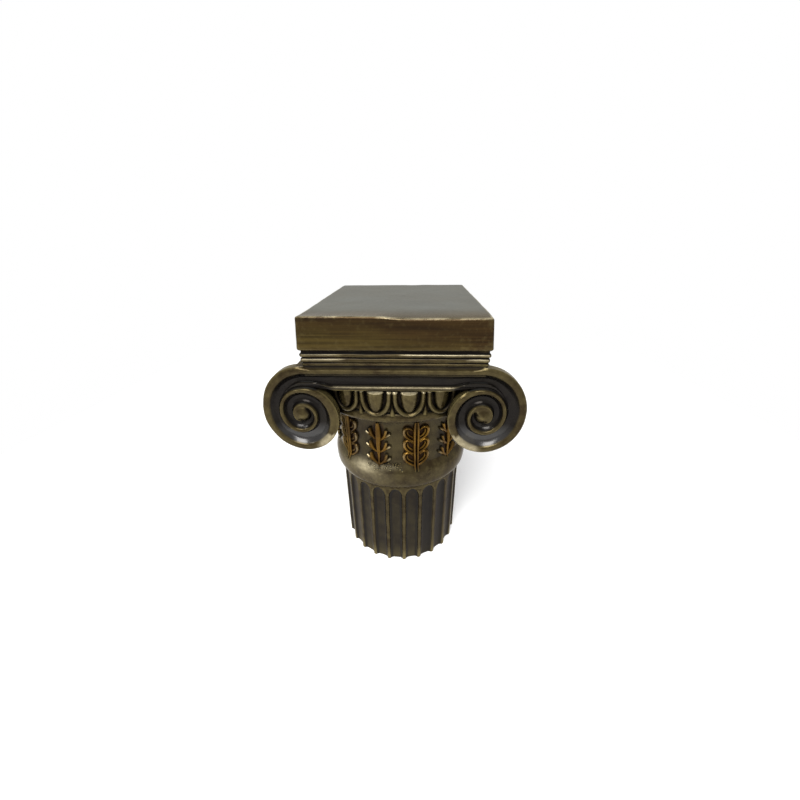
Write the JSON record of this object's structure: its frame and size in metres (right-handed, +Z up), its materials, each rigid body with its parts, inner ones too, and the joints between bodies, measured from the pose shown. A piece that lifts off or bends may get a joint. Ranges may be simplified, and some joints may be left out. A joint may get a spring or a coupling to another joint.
{
  "type": "ionic column ornament",
  "caption": "Small decorative Ionic capital on a short fluted stub: scrolls, egg-and-dart ring, leaf band and a plain slab on top, cast in one with a bronzed finish.",
  "frame": {"origin": "middle of the flat foot, on the surface the ornament stands on", "axes": "+Z up along the column's axis, -Y out of the front scroll face, +X to the right seen from the front"},
  "size_m": [0.15, 0.1304, 0.2],
  "materials": {
    "bronzed": "satin"
  },
  "bodies": {
    "root": {"ionic_column": "bronzed"}
  },
  "joints": []
}
